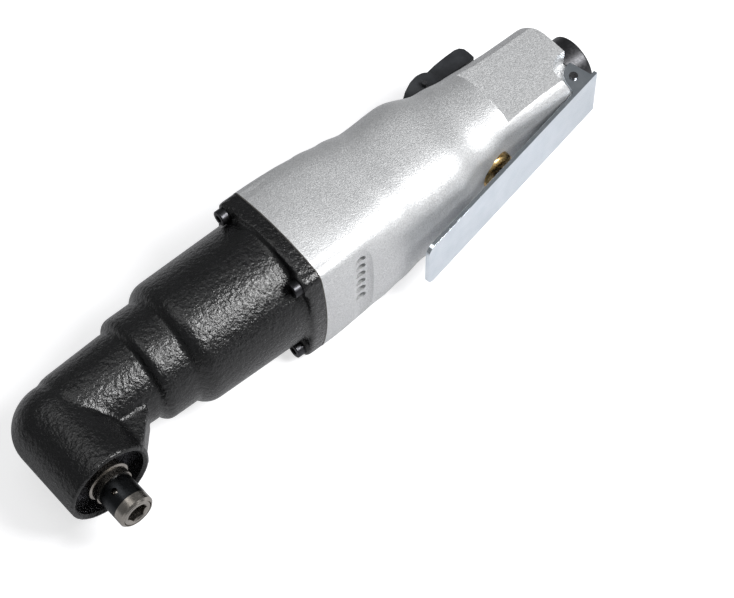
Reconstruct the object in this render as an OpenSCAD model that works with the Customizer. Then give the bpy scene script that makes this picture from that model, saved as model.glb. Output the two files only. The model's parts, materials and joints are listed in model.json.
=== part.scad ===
// Right-angle air screwdriver: planetary gear case, bevel-gear head, two-way
// vane motor, lever throttle. Tool axes: X runs back along the motor from the
// point where both shafts cross, the bit points along -Y, Z is up as it lies.

/* [Casings] */
// Length of the neck behind the crossing of the shafts
neck_len = 28.7; // [27:0.1:36]
// Length of the middle step of the gear case
step_len = 13.3; // [12:0.1:18]
// Length of the large drum of the gear case
drum_len = 42.4; // [42:0.1:54]
// Thickness of the bolted flange
flange_t = 5.5; // [4:0.1:9]
// Thickness of the gasket behind the flange
gasket_t = 0.4; // [0.2:0.1:1]
// Length of the aluminium motor housing
housing_len = 123.2; // [115:0.1:150]
// Half width of the flange across its sides
flange_half = 24.5; // [23:0.1:30]
// Radius of the flange's bulged sides
flange_bulge_r = 80; // [60:1:120]
// Wall around the nose bearing
head_wall = 2.3; // [2:0.1:4]
// Wall of the neck around its bearing
neck_wall = 5.3; // [3:0.1:7]
// Wall of the step around the carrier bearing
step_wall = 3; // [2.4:0.1:5]
// Wall of the drum around the ring gear
drum_wall = 3; // [2.4:0.1:5]

/* [Output head] */
// Bit size across the flats of its hexagon
bit_af = 6.35; // [5:0.01:8]
// Diameter of the chuck
chuck_d = 12.5; // [11:0.1:15]
// Distance of the chuck's face from the tool axis
chuck_reach = 40.6; // [38:0.1:48]
// Distance of the nose rim from the tool axis
nose_reach = 25; // [24:0.1:28]
// Depth of the bit socket
socket_depth = 16; // [12:0.5:20]
// Outer radius of the nose bearing
nose_bearing_r = 13; // [13:0.1:16]
// Module of the bevel gears
bevel_m = 1.25; // [1.05:0.01:1.5]
// Radius of the ball that holds the bit
ball_r = 1.35; // [1.2:0.05:1.5]

/* [Gear train and motor] */
// Module of the planetary gears
planet_m = 0.9; // [0.75:0.01:1.08]
// Face width of the planet gears
planet_w = 8.4; // [6:0.1:10]
// Least wall of the motor's liner
liner_wall = 1.9; // [1.5:0.1:2.5]
// Least wall of the housing beside the motor
grip_wall = 3.6; // [2:0.1:5]
// Radius of the motor rotor
rotor_r = 14.3; // [12.5:0.1:15]
// Offset of the liner's bore from the rotor
liner_offset = 1.3; // [1:0.1:1.5]
// Number of vanes in the rotor
vane_count = 5; // [4:1:6]

/* [Valves and levers] */
// Width of the throttle lever
lever_w = 20.6; // [16:0.5:26]
// Length of the throttle lever's plate
lever_len = 92.8; // [80:0.5:98]
// Thickness of the lever's sheet
lever_t = 1.4; // [1:0.1:2]
// Angle of the lever to the tool axis at rest
lever_slope = 10.74; // [9:0.1:12]
// Radius of the brass throttle bush
bush_r = 7; // [6:0.1:8]
// Radius of the reversing spool
spool_r = 5.5; // [4.5:0.1:6]
// Reach of the reverse lever's tail behind its pivot
reverse_reach = 22; // [18:0.5:26]

/* [Air inlet] */
// Outer diameter of the inlet bushing
inlet_d = 20; // [18:0.5:21]
// Length of the inlet bushing outside the housing
inlet_out = 8.5; // [6:0.5:12]
// Bore radius of the quarter-inch pipe thread
inlet_bore_r = 5.72; // [5:0.01:6.5]

/* [Hidden] */
$fn = 64;

run = 0.05;          // running clearance of a turning or sliding fit, on the radius
fit = 0.02;          // clearance of parts that are pressed or screwed together
over = 1;            // how far a cutter reaches past what it cuts
arc_steps = 6;       // straight stretches in a rounded edge
flank_steps = 5;     // points along a gear flank
press_angle = 20;    // pressure angle of all gears

// ---- bevel pair: apex at the crossing of the shafts
pinion_teeth = 12;
crown_teeth = 18;
bevel_face = 4.5;
pinion_cone = atan(pinion_teeth / crown_teeth);
crown_cone = 90 - pinion_cone;
pinion_r = bevel_m * pinion_teeth / 2;
crown_r = bevel_m * crown_teeth / 2;
cone_dist = norm([pinion_r, crown_r]);
bevel_small = 1 - bevel_face / cone_dist;
bevel_add = 0.9 * bevel_m;
bevel_ded = 1.2 * bevel_m;
bevel_gap = 0.1;
pinion_tip_r = pinion_r + bevel_add * cos(pinion_cone);

// ---- head, from the gears outwards
crown_space_r = crown_r + bevel_add * cos(crown_cone);
head_r = max(nose_bearing_r, crown_space_r + 0.3) + head_wall;
spindle_r = 4;
spindle_seat_r = 5;
nose_bearing_w = 8;
nose_bearing_y = 12;
top_bush_r = 6;
top_bush_y = [5.2, 11.8];
circlip_t = 1.1;
spindle_seat_y = nose_bearing_y + nose_bearing_w;
clip_depth = 0.6;

// ---- neck: bearing behind the bevel pinion
pinion_shaft_r = 4;
pinion_bearing_r = 11;
pinion_bearing_w = 7;
pinion_bearing_x = crown_r + 3.3;
neck_r = pinion_bearing_r + neck_wall;

// ---- step: bearing of the planet carrier
step_x = neck_len;
drum_x = step_x + step_len;
carrier_shaft_r = 7.45;
carrier_bearing_r = 16;
carrier_bearing_w = 9;
carrier_bearing_x = drum_x + 1;
step_r = carrier_bearing_r + step_wall;

// ---- planetary stage: 12, 12 and 36 teeth, reduction 4 to 1
sun_teeth = 12;
planet_teeth = 12;
ring_teeth = sun_teeth + 2 * planet_teeth;
planet_count = 3;
planet_add = 0.9 * planet_m;
planet_ded = 1.2 * planet_m;
planet_gap = 0.1;
planet_orbit = planet_m * (sun_teeth + planet_teeth) / 2;
planet_tip_r = planet_m * planet_teeth / 2 + planet_add;
ring_tip_r = planet_m * ring_teeth / 2 - planet_add;
ring_rim = 2.9;
ring_r = planet_m * ring_teeth / 2 + planet_ded + ring_rim - 0.18;
drum_r = ring_r + drum_wall;
drum_draft = 0.6;
planet_pin_r = 2;
carrier_post_r = 3;
tongue_x = pinion_bearing_x + pinion_bearing_w + 3.5;
tongue_len = 8;
tongue_r = 3.4;
carrier_plate_t = 4;
carrier_r = ring_tip_r - 0.8;
side_gap = 0.3;
carrier_x = carrier_bearing_x + carrier_bearing_w + 4;
planet_x = carrier_x + carrier_plate_t + side_gap;
carrier_back_x = planet_x + planet_w + side_gap;
carrier_back_t = 2.5;
carrier_end_x = carrier_back_x + carrier_back_t;
ring_x = planet_x - 2.3;
ring_w = planet_w + 4.6;
sun_back_x = carrier_end_x + 1;

// ---- flange and housing
flange_x = drum_x + drum_len;
gasket_x = flange_x + flange_t;
housing_x = gasket_x + gasket_t;
housing_end_x = housing_x + housing_len;
inlet_end_x = housing_end_x + inlet_out;
corner_r = 4;
bulge_off = flange_bulge_r - flange_half;
corner_at = (sqrt(2 * pow(flange_bulge_r - corner_r, 2) - bulge_off * bulge_off) - bulge_off) / 2;
corner_reach = corner_at * sqrt(2) + corner_r;
screw_r = 1.5;
screw_head_r = 2.75;
screw_head_h = 3;
screw_pad_h = 0.7;           // raised seat under each screw head
screw_pad_r = 3.6;
screw_x = flange_x - screw_pad_h;
screw_len = 17;

// ---- motor, from the flange backwards
motor_bearing_r = 16;
motor_bearing_w = 9;
front_plate_x = housing_x - 9;
rotor_x = housing_x + 5;
front_journal_r = 7.45;
valve_block = 71.5;          // housing behind the motor, for valves and inlet
rotor_end_x = housing_end_x - valve_block;
rear_plate_t = 9;
rear_plate_end_x = rotor_end_x + rear_plate_t;
rear_journal_r = 3.95;
rear_bearing_r = 11;
rear_bearing_w = 7;
liner_bore_r = rotor_r + liner_offset + 0.2;
motor_bore_r = liner_bore_r + liner_offset + liner_wall;
vane_t = 2;
vane_root_r = 5.3;
dowel_r = 1;
dowel_y = (motor_bore_r + liner_bore_r - liner_offset) / 2;

// ---- valves and levers, measured from the rear end of the housing
valve_x = housing_end_x - 42.8;
grip_low = 17;               // depth of the flat under the lever
bush_face_y = -18.6;
bush_seat_y = -9;
stem_r = 2;
poppet_r = 4.2;
spring_wire_r = 0.45;
spring_mean_r = 3.2;
spring_turns = 5;
spring_end_y = 1.9;
pivot_x = housing_end_x - 1.9;
pivot_y = -10.2;
pivot_r = 1.5;
plate_in = 4.07;             // distance of the plate's inner face from the pivot
lever_press = 3.2;           // how far the lever turns when it is pressed
lever_tail = 6.27;           // plate behind the pivot
lug_half = lever_w / 2 - lever_t - 0.2;
reverse_x = housing_end_x - 40.5;
spool_y = [4.3, 18.6];
reverse_seat_y = 20;
reverse_hub_r = 7.5;
reverse_hub_h = 4.2;
reverse_top_y = 28;
reverse_stem_r = 3;
roll_pin_r = 0.9;

stem_tip_y = pivot_y - plate_in / cos(lever_slope) - (pivot_x - valve_x) * tan(lever_slope)
    + (stem_r + run) / cos(lever_slope);
poppet_y = bush_seat_y + 0.8;
lever_corner = 3;

// ---- chuck
socket_r = (bit_af / 2 + 0.05) / cos(30);
core_r = 5.2;
sleeve_y = [28.8, 36.9];
ball_y = 32.5;
ball_seat = 3.8;
ball_tilt = -22.5;

// ---- air inlet
inlet_thread_r = 8.2;
inlet_bore_len = 12;
screen_x = housing_end_x - 15.5;
inlet_room_x = screen_x - 18;

// ---- stations of the grip behind its front face: corner radius, then
// half width up (+Y), down (-Y) and to each side (Z)
motor_side = motor_bore_r + grip_wall;
grip_corner = [[0, corner_reach], [14.7, corner_reach - 0.4], [24.7, corner_reach - 1.2],
    [34.7, motor_side + 4.4], [44.7, motor_side + 2.6], [59.7, motor_side + 3.1], [75.7, 21.6],
    [86.7, 20.2], [98.7, 19.1]];
grip_up = [[0, flange_half], [32.7, flange_half], [47.7, flange_half + 1]];
grip_down = [[0, flange_half], [14.7, motor_side + 0.4], [32.7, motor_side + 1],
    [47.7, motor_side + 0.3], [59.7, motor_side - 0.8], [75.7, 18], [87.7, grip_low]];
grip_side = [[0, flange_half], [32.7, motor_side + 1.2], [47.7, motor_side],
    [59.7, motor_side + 0.2], [75.7, 20.5], [90.7, 19.6]];
rear_r = 18.8;
rear_round = 3;
label_half = 15.6;
label_len = 29.5;
grip_step = 3;
exhaust_x = housing_x + 16.7;
exhaust_r = 1.3;
exhaust_stretch = 0.7;       // half of what each hole is longer than wide
exhaust_pitch = 4.3;
exhaust_count = 6;
exhaust_z = 3.2;
exhaust_floor_y = -21.9;

// ---- the row's frame: middle of the outer box, at its base
origin_at = [(inlet_end_x - head_r) / 2, (reverse_top_y - chuck_reach) / 2, -flange_half];

// ---------------------------------------------------------------- helpers
module stand() translate(-origin_at) children();
module face_x(x) translate([x, 0, 0]) rotate([0, 90, 0]) children();
module face_y(y) translate([0, y, 0]) rotate([-90, 0, 0]) children();
module rod_x(x0, x1, r) face_x(x0) cylinder(h = x1 - x0, r = r);
module rod_y(y0, y1, r) face_y(y0) cylinder(h = y1 - y0, r = r);
module turned_x(outline) rotate([0, 90, 0]) rotate_extrude() polygon(outline);
module turned_y(outline) rotate([-90, 0, 0]) rotate_extrude() polygon(outline);

// Rounded outer edge of a turned part, from its front face to its side
function front_edge(r, x, f) = [for (i = [0:arc_steps]) let (a = 90 * i / arc_steps)
    [r - f + f * sin(a), x + f - f * cos(a)]];
// The same edge at its far end, from its side to its end face
function back_edge(r, x, f) = [for (i = [0:arc_steps]) let (a = 90 * i / arc_steps)
    [r - f + f * cos(a), x - f + f * sin(a)]];

// Drum about X with a rounded front and rear
module drum(x0, x1, r0, r1, front, back) turned_x(concat([[0, x0]], front_edge(r0, x0, front),
    back_edge(r1, x1, back), [[0, x1]]));

// Value of a station list at x, eased from one station to the next
function eased(list, x, i = 0) =
    i >= len(list) - 1 || x <= list[0][0] ? list[min(i, len(list) - 1)][1]
    : x <= list[i + 1][0]
        ? let (t = (x - list[i][0]) / (list[i + 1][0] - list[i][0]))
          list[i][1] + (list[i + 1][1] - list[i][1]) * (1 - cos(180 * t)) / 2
        : eased(list, x, i + 1);

// Sealed ball bearing about Z: two races and a recessed shield between them
module bearing(w, ri, ro) {
    race = (ro - ri) * 0.22;
    difference() {
        cylinder(h = w, r = ro);
        translate([0, 0, -over]) cylinder(h = w + 2 * over, r = ri);
        for (z = [-over, w - 0.35]) translate([0, 0, z]) difference() {
            cylinder(h = over + 0.35, r = ro - race);
            translate([0, 0, -over]) cylinder(h = 4 * over, r = ri + race);
        }
    }
}

// Involute angle in degrees, and the half angle of a tooth at radius r
function inv(a) = tan(a) * 180 / PI - a;
function tooth_half(z, rp, r, slack) = let (rb = rp * cos(press_angle), q = max(r, rb))
    90 / z - slack / 2 / rp * 180 / PI + inv(press_angle) - inv(acos(min(1, rb / q)));
function polar(r, a) = [r * cos(a), r * sin(a)];
function gear_outline(z, m, root_r, tip_r, slack) = let (rp = z * m / 2)
    [for (k = [0:z - 1], s = [-1, 1], i = [0:flank_steps])
        let (j = s < 0 ? i : flank_steps - i, r = root_r + (tip_r - root_r) * j / flank_steps)
        polar(r, 360 * k / z + s * tooth_half(z, rp, r, slack))];

// Bevel tooth on the sphere: half angle at cone angle g of a gear of pitch cone d
function sphere_inv(d, g) = let (b = asin(cos(press_angle) * sin(d)), q = max(g, b + 0.001))
    acos(min(1, cos(q) / cos(b))) / sin(b) - acos(min(1, tan(b) / tan(q)));
function bevel_outline(z, d, slack) = let (reach = cone_dist * cos(d),
        lo = d - atan(bevel_ded / cone_dist), hi = d + atan(bevel_add / cone_dist),
        trim = slack / 2 / (cone_dist * sin(d)) * 180 / PI)
    [for (k = [0:z - 1], s = [-1, 1], i = [0:flank_steps])
        let (j = s < 0 ? i : flank_steps - i, g = lo + (hi - lo) * j / flank_steps)
        polar(reach * tan(g), 360 * k / z
            + s * (90 / z - trim + sphere_inv(d, d) - sphere_inv(d, g)))];
// Bevel gear teeth: back plane at z = 0, apex of the cone above it
module bevel_teeth(z, d, tip) {
    deep = cone_dist * cos(d) * (1 - bevel_small);
    intersection() {
        linear_extrude(height = deep, scale = bevel_small) polygon(bevel_outline(z, d, bevel_gap));
        translate([0, 0, -over]) cylinder(h = deep + 2 * over, r = tip);
    }
}

// Flange outline: gently bulged sides between four rounded screw corners
module flange_outline() {
    difference() {
        for_sides() translate([-bulge_off, 0]) circle(r = flange_bulge_r, $fn = 180);
        for (sy = [-1, 1], sz = [-1, 1])
            translate([sy * (corner_at + 5), sz * (corner_at + 5)]) square(10, center = true);
    }
    for (sy = [-1, 1], sz = [-1, 1]) translate([sy * corner_at, sz * corner_at]) circle(r = corner_r);
}
module for_sides() intersection_for(a = [0:90:270]) rotate(a) children();
module at_screws() for (sy = [-1, 1], sz = [-1, 1]) translate([0, sy * corner_at, sz * corner_at])
    children();

// ---------------------------------------------------------------- casings
module front_casing() stand() color("#1c1c1e") difference() {
    union() {
        sphere(r = head_r);
        rod_y(-nose_reach, 0, head_r);
        drum(0, neck_len, head_r, neck_r, 1, 1);
        drum(step_x, drum_x + 2, step_r, step_r, 2.5, 1);
        drum(drum_x, flange_x + 1, drum_r - drum_draft, drum_r, 6.5, 0.5);
        face_x(flange_x) linear_extrude(flange_t) flange_outline();
        at_screws() rod_x(screw_x, flange_x + over, screw_pad_r);
        gusset();
    }
    // nose: bearing seat, circlip groove, mouth
    rod_y(-nose_reach - over, -nose_bearing_y, nose_bearing_r);
    rod_y(-nose_bearing_y - nose_bearing_w - circlip_t - 0.1, -nose_bearing_y - nose_bearing_w,
        nose_bearing_r + clip_depth);
    turned_y([[0, -nose_reach - over], [nose_bearing_r + 0.9 + over, -nose_reach - over],
        [nose_bearing_r, -nose_reach + 0.9], [0, -nose_reach + 0.9]]);
    // gear room, spindle hole and top bush
    rod_y(-nose_bearing_y - over, -3.5, crown_space_r + 0.3);
    rod_y(-4, top_bush_y[0], spindle_seat_r + 1);
    rod_y(top_bush_y[0] - 0.5, top_bush_y[1] + 0.2, top_bush_r + fit);
    // pinion room, pinion bearing, carrier shaft
    rod_x(top_bush_r + 0.3, pinion_bearing_x + over, pinion_tip_r + 0.7);
    rod_x(pinion_bearing_x, carrier_bearing_x + over, pinion_bearing_r);
    rod_x(pinion_bearing_x + pinion_bearing_w, pinion_bearing_x + pinion_bearing_w + circlip_t + 0.1,
        pinion_bearing_r + clip_depth);
    rod_x(carrier_bearing_x, carrier_x, carrier_bearing_r);
    rod_x(carrier_bearing_x + carrier_bearing_w, gasket_x + over, ring_r + fit);
    at_screws() rod_x(screw_x - over, gasket_x + over, screw_r + 0.2);
}
// Web in the corner between the nose barrel and the neck
module gusset() {
    leg = 11;
    translate([0, 0, -7]) linear_extrude(14) polygon([[head_r - 3, -neck_r + 4],
        [head_r + leg, -neck_r + 1], [head_r + leg, -neck_r], [head_r, -neck_r - leg + 2.5],
        [head_r - 3, -neck_r - leg + 2.5]]);
}
module casing_gasket() stand() color("#2b2a26") difference() {
    face_x(gasket_x) linear_extrude(gasket_t) flange_outline();
    rod_x(gasket_x - over, housing_x + over, ring_r + fit);
    at_screws() rod_x(gasket_x - over, housing_x + over, screw_r + 0.2);
}
module flange_screws() stand() color("#2a2b2e") at_screws() difference() {
    union() {
        drum(screw_x - screw_head_h, screw_x, screw_head_r, screw_head_r, 0.4, 0.1);
        rod_x(screw_x - 0.5, screw_x - 0.5 + screw_len, screw_r);
    }
    face_x(screw_x - screw_head_h - over) cylinder(h = 1.6 + over, r = 1.45, $fn = 6);
}

// Grip: turned corner envelope, cut back to its side and plan outlines
module grip() {
    fade = housing_len - rear_round;
    xs = [for (x = [0:grip_step:fade - grip_step]) x];
    intersection() {
        translate([housing_x, 0, 0]) turned_x(concat([[0, 0]],
            [for (x = xs) [x > 100 ? rear_r : eased(grip_corner, x), x]],
            back_edge(rear_r, housing_len, rear_round), [[0, housing_len]]));
        translate([housing_x, 0, -40]) linear_extrude(80) polygon(concat(
            [for (x = xs) [x, eased(grip_up, x)]], [[housing_len + 1, 26], [housing_len + 1, -grip_low]],
            [for (i = [len(xs) - 1:-1:0]) [xs[i], -eased(grip_down, xs[i])]]));
        translate([housing_x, 40, 0]) rotate([90, 0, 0]) linear_extrude(80)
            for (side = [0, 1]) mirror([0, side]) polygon(concat([[0, 0]],
                [for (x = xs) if (x < housing_len - label_len) [x, eased(grip_side, x)]],
                [[housing_len - label_len, grip_side[5][1]], [housing_len - label_len + 1, label_half],
                    [housing_len + 1, label_half], [housing_len + 1, 0]]));
    }
}
module main_housing() stand() color("#c3c4c6") difference() {
    grip();
    // motor bore and screw holes
    rod_x(housing_x - over, rear_plate_end_x, motor_bore_r);
    at_screws() rod_x(housing_x - over, flange_x + screw_len + 1, screw_r + fit);
    // exhaust: a shallow scallop with a row of holes
    translate([exhaust_x, exhaust_floor_y - 5.5, -30]) cylinder(h = 60, r = 5.5);
    for (i = [0:exhaust_count - 1]) translate([0, 0, exhaust_z + (i - (exhaust_count - 1) / 2)
        * exhaust_pitch]) for (s = [-1, 1]) translate([exhaust_x + s * exhaust_stretch, 0, 0])
            rod_y(-40, -10, exhaust_r);
    // throttle: bush seat and thread, valve room
    translate([valve_x, 0, 0]) {
        rod_y(-30, -grip_low, bush_r + 0.3);
        rod_y(-30, bush_seat_y, bush_r - 0.6 + fit);
        rod_y(bush_seat_y - over, spring_end_y, spool_r);
    }
    // reversing spool and the seat its lever turns on
    translate([reverse_x, 0, 0]) {
        rod_y(spool_y[0] - 0.1, 40, spool_r + run);
        rod_y(reverse_seat_y, 40, reverse_hub_r + 5);
    }
    // air passages: inlet to throttle, throttle to spool, spool to motor
    rod_x(valve_x + 2, inlet_room_x, 3);
    translate([valve_x + 1, 0, 0]) rod_y(spring_end_y - over, spool_y[0] + over, 2);
    translate([0, 9, 0]) rod_x(rear_plate_end_x - over, reverse_x, 2.2);
    // inlet: chamber, screen seat and thread
    rod_x(inlet_room_x - over, screen_x + over, 6.5);
    rod_x(screen_x, housing_end_x + over, inlet_thread_r + fit);
    // room for the pressed lever, slots for its ears, and the pin's hole
    translate([pivot_x, pivot_y, 0]) rotate([0, 0, lever_slope - lever_press])
        translate([-60, -plate_in + 0.3 - 20, -30]) cube([70, 20, 60]);
    for (s = [-1, 1]) translate([pivot_x - 9, -30, s > 0 ? lug_half : -lug_half - 20])
        cube([30, 30 - 2.5, 20]);
    translate([pivot_x, pivot_y, -20]) cylinder(h = 40, r = pivot_r + fit);
}

// ---------------------------------------------------------------- motor
module front_end_plate() stand() color("#8d9298") difference() {
    union() {
        rod_x(front_plate_x, gasket_x, ring_r);
        rod_x(gasket_x - 0.5, rotor_x, motor_bore_r - fit);
    }
    rod_x(front_plate_x - over, front_plate_x + motor_bearing_w + 2, motor_bearing_r + fit);
    rod_x(front_plate_x, rotor_x + over, front_journal_r + 0.8);
    translate([0, dowel_y, 0]) rod_x(rotor_x - 2.5, rotor_x + over, dowel_r + fit);
}
module front_rotor_bearing() stand() color("#a9abae") face_x(front_plate_x + 2)
    bearing(motor_bearing_w, front_journal_r + run, motor_bearing_r);
module cylinder_liner() stand() color("#9a9da2") difference() {
    rod_x(rotor_x, rotor_end_x, motor_bore_r - fit);
    translate([0, -liner_offset, 0]) rod_x(rotor_x - over, rotor_end_x + over, liner_bore_r);
    for (i = [0:exhaust_count - 1]) translate([exhaust_x, 0, exhaust_z
        + (i - (exhaust_count - 1) / 2) * exhaust_pitch]) rod_y(-30, -8, exhaust_r);
    translate([0, dowel_y, 0]) rod_x(rotor_x - over, rotor_end_x + over, dowel_r + fit);
}
module liner_dowels() stand() color("#b9bbbe") for (x = [rotor_x - 2.4, rotor_end_x - 3])
    translate([0, dowel_y, 0]) rod_x(x, x + 5.4, dowel_r);
module rotor() stand() color("#85888d") {
    difference() {
        union() {
            rod_x(rotor_x + 0.2, rotor_end_x - 0.2, rotor_r);
            rod_x(sun_back_x, rotor_x + 0.3, front_journal_r);
            rod_x(rotor_end_x - 0.3, rear_plate_end_x - 0.5, rear_journal_r);
            face_x(carrier_x + carrier_plate_t + 0.6) linear_extrude(sun_back_x - carrier_x
                - carrier_plate_t) gear(sun_teeth, 0);
        }
        at_vanes() translate([rotor_x, vane_root_r, -vane_t / 2 - run])
            cube([rotor_end_x - rotor_x, rotor_r, vane_t + 2 * run]);
    }
}
module rotor_vanes() stand() color("#6b4a2c") at_vanes()
    translate([rotor_x + 0.3, vane_root_r + 0.2, -vane_t / 2])
        cube([rotor_end_x - rotor_x - 0.6, rotor_r - vane_root_r - 0.4, vane_t]);
module at_vanes() for (k = [0:vane_count - 1]) rotate([360 * k / vane_count, 0, 0]) children();
module rear_end_plate() stand() color("#8d9298") difference() {
    rod_x(rotor_end_x, rear_plate_end_x, motor_bore_r - fit);
    rod_x(rotor_end_x + 1.5, rear_plate_end_x + over, rear_bearing_r + fit);
    rod_x(rotor_end_x - over, rear_plate_end_x, rear_journal_r + 0.5);
    translate([0, dowel_y, 0]) rod_x(rotor_end_x - over, rotor_end_x + 2.6, dowel_r + fit);
}
module rear_rotor_bearing() stand() color("#a9abae") face_x(rotor_end_x + 1.5)
    bearing(rear_bearing_w, rear_journal_r + run, rear_bearing_r);

// ---------------------------------------------------------------- gear train
module gear(teeth, turn) rotate(turn) polygon(gear_outline(teeth, planet_m,
    planet_m * teeth / 2 - planet_ded, planet_m * teeth / 2 + planet_add, planet_gap));
module gear_spacer() stand() color("#94979c") difference() {
    rod_x(ring_x + ring_w, front_plate_x, ring_r);
    rod_x(ring_x + ring_w - over, front_plate_x + over, ring_r - ring_rim);
}
module ring_gear() stand() color("#7d8085") difference() {
    rod_x(ring_x, ring_x + ring_w, ring_r);
    face_x(ring_x - over) linear_extrude(ring_w + 2 * over) rotate(180 / ring_teeth)
        polygon(gear_outline(ring_teeth, planet_m, ring_tip_r,
            planet_m * ring_teeth / 2 + planet_ded, -planet_gap));
}
module planet_gear(i) stand() color("#8f9296") rotate([360 * i / planet_count, 0, 0])
    translate([0, 0, -planet_orbit]) difference() {
        face_x(planet_x) linear_extrude(planet_w) gear(planet_teeth, 180 / planet_teeth);
        rod_x(planet_x - over, planet_x + planet_w + over, planet_pin_r + run);
    }
module planet_pins() stand() color("#b9bbbe") at_planets()
    rod_x(carrier_x + 1, carrier_end_x, planet_pin_r);
module at_planets() for (i = [0:planet_count - 1]) rotate([360 * i / planet_count, 0, 0])
    translate([0, 0, -planet_orbit]) children();
module planet_carrier() stand() color("#777a7f") difference() {
    union() {
        rod_x(tongue_x - 1, carrier_x + 1, carrier_shaft_r);
        rod_x(carrier_bearing_x + carrier_bearing_w + 0.3, carrier_x + 1, carrier_shaft_r + 2);
        rod_x(carrier_x, carrier_x + carrier_plate_t, carrier_r);
        rod_x(carrier_back_x, carrier_end_x, carrier_r);
        rotate([180 / planet_count, 0, 0]) at_planets()
            rod_x(carrier_x + 1, carrier_back_x + 1, carrier_post_r);
    }
    at_planets() rod_x(carrier_x + 1, carrier_end_x + over, planet_pin_r + fit);
    rod_x(carrier_back_x - over, carrier_end_x + over, front_journal_r + 0.6);
    rod_x(tongue_x - 1 - over, tongue_x + 0.2, pinion_shaft_r + 0.1);
    face_x(tongue_x - over) cylinder(h = tongue_len + over + 0.4, r = tongue_r + 0.06, $fn = 6);
}
module carrier_bearing() stand() color("#a9abae") face_x(carrier_bearing_x)
    bearing(carrier_bearing_w, carrier_shaft_r + run, carrier_bearing_r);
module pinion_bearing() stand() color("#a9abae") face_x(pinion_bearing_x)
    bearing(pinion_bearing_w, pinion_shaft_r + run, pinion_bearing_r);
module pinion_circlip() stand() color("#4a4c50")
    face_x(pinion_bearing_x + pinion_bearing_w + 0.05) circlip(pinion_bearing_r);
module bevel_pinion() stand() color("#8a8d92") {
    translate([crown_r, 0, 0]) rotate([0, -90, 0]) bevel_teeth(pinion_teeth, pinion_cone, pinion_tip_r);
    rod_x(crown_r, pinion_bearing_x - 0.3, pinion_shaft_r + 1.5);
    rod_x(crown_r, tongue_x + 0.1, pinion_shaft_r);
    face_x(tongue_x) cylinder(h = tongue_len, r = tongue_r, $fn = 6);
}
module bevel_gear() stand() color("#8a8d92") difference() {
    union() {
        face_y(-pinion_r) rotate(180 / crown_teeth)
            bevel_teeth(crown_teeth, crown_cone, crown_space_r);
        rod_y(-nose_bearing_y + 1.2, -pinion_r, crown_r - 1.8);
        rod_y(-nose_bearing_y + 0.1, -pinion_r, spindle_seat_r + 2.4);
    }
    rod_y(-nose_bearing_y - over, 0, spindle_seat_r + fit);
}

// ---------------------------------------------------------------- output head
// Internal circlip that seats under a face at z = 0, for a bore of radius r
module circlip(r) difference() {
    union() {
        difference() {
            cylinder(h = circlip_t, r = r + clip_depth - fit);
            translate([0, 0, -over]) cylinder(h = 9, r = r - 1.3);
        }
        for (s = [-1, 1]) rotate(s * 24) translate([r - 1.6, 0, 0]) cylinder(h = circlip_t, r = 1.5);
    }
    for (s = [-1, 1]) rotate(s * 24) translate([r - 1.6, 0, -over]) cylinder(h = 9, r = 0.65);
    translate([0, 0, -over]) linear_extrude(9) polygon([[0, 0], polar(2 * r, -14), polar(2 * r, 14)]);
}
module output_spindle() stand() color("#a19d96") difference() {
    turned_y([[0, -chuck_reach], [core_r - 0.4, -chuck_reach], [core_r, -chuck_reach + 0.4],
        [core_r, -sleeve_y[0]], [chuck_d / 2 + 0.5, -sleeve_y[0]], [chuck_d / 2 + 0.5, -26.2],
        [chuck_d / 2 + 1.3, -25.9], [chuck_d / 2 + 1.3, -25.2], [chuck_d / 2 + 0.2, -25.2],
        [chuck_d / 2 + 0.2, -spindle_seat_y - 0.6], [spindle_seat_r + 1.6, -spindle_seat_y],
        [spindle_seat_r, -spindle_seat_y], [spindle_seat_r, -4.3], [spindle_r, -4.3],
        [spindle_r, top_bush_y[1] - 0.5], [spindle_r - 0.5, top_bush_y[1]], [0, top_bush_y[1]]]);
    face_y(-chuck_reach - over) cylinder(h = socket_depth + over, r = socket_r, $fn = 6);
    turned_y([[0, -chuck_reach - over], [socket_r + 0.5 + over, -chuck_reach - over],
        [socket_r - 0.5, -chuck_reach + 0.5 + fit], [0, -chuck_reach + 0.5]]);
    at_ball() translate([0, 0, 2]) cylinder(h = 6, r = ball_r + run);
}
module at_ball() translate([0, -ball_y, 0]) rotate([0, ball_tilt, 0]) children();
module spindle_upper_bush() stand() color("#b08d4f") difference() {
    rod_y(top_bush_y[0], top_bush_y[1], top_bush_r);
    rod_y(top_bush_y[0] - over, top_bush_y[1] + over, spindle_r + run);
}
module spindle_lower_bearing() stand() color("#a9abae")
    face_y(-nose_bearing_y - nose_bearing_w) bearing(nose_bearing_w, spindle_seat_r + run,
        nose_bearing_r);
module nose_circlip() stand() color("#5a5c60")
    face_y(-nose_bearing_y - nose_bearing_w - circlip_t - 0.05) rotate(-60) circlip(nose_bearing_r);
module bit_retaining_sleeve() stand() color("#232427") difference() {
    rod_y(-sleeve_y[1], -sleeve_y[0] - fit, chuck_d / 2);
    rod_y(-sleeve_y[1] - over, -sleeve_y[0] + over, core_r + fit);
    at_ball() cylinder(h = 12, r = ball_r - 0.15);
}
module chuck_tip_ring() stand() color("#b3aea6") difference() {
    turned_y([[0, -chuck_reach], [chuck_d / 2 - 0.7, -chuck_reach], [chuck_d / 2, -chuck_reach + 0.7],
        [chuck_d / 2, -sleeve_y[1] - fit], [0, -sleeve_y[1] - fit]]);
    rod_y(-chuck_reach - over, -sleeve_y[1] + over, core_r + fit);
}
module bit_ball() stand() color("#c9cbce") at_ball() translate([0, 0, ball_seat]) sphere(r = ball_r);

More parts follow.
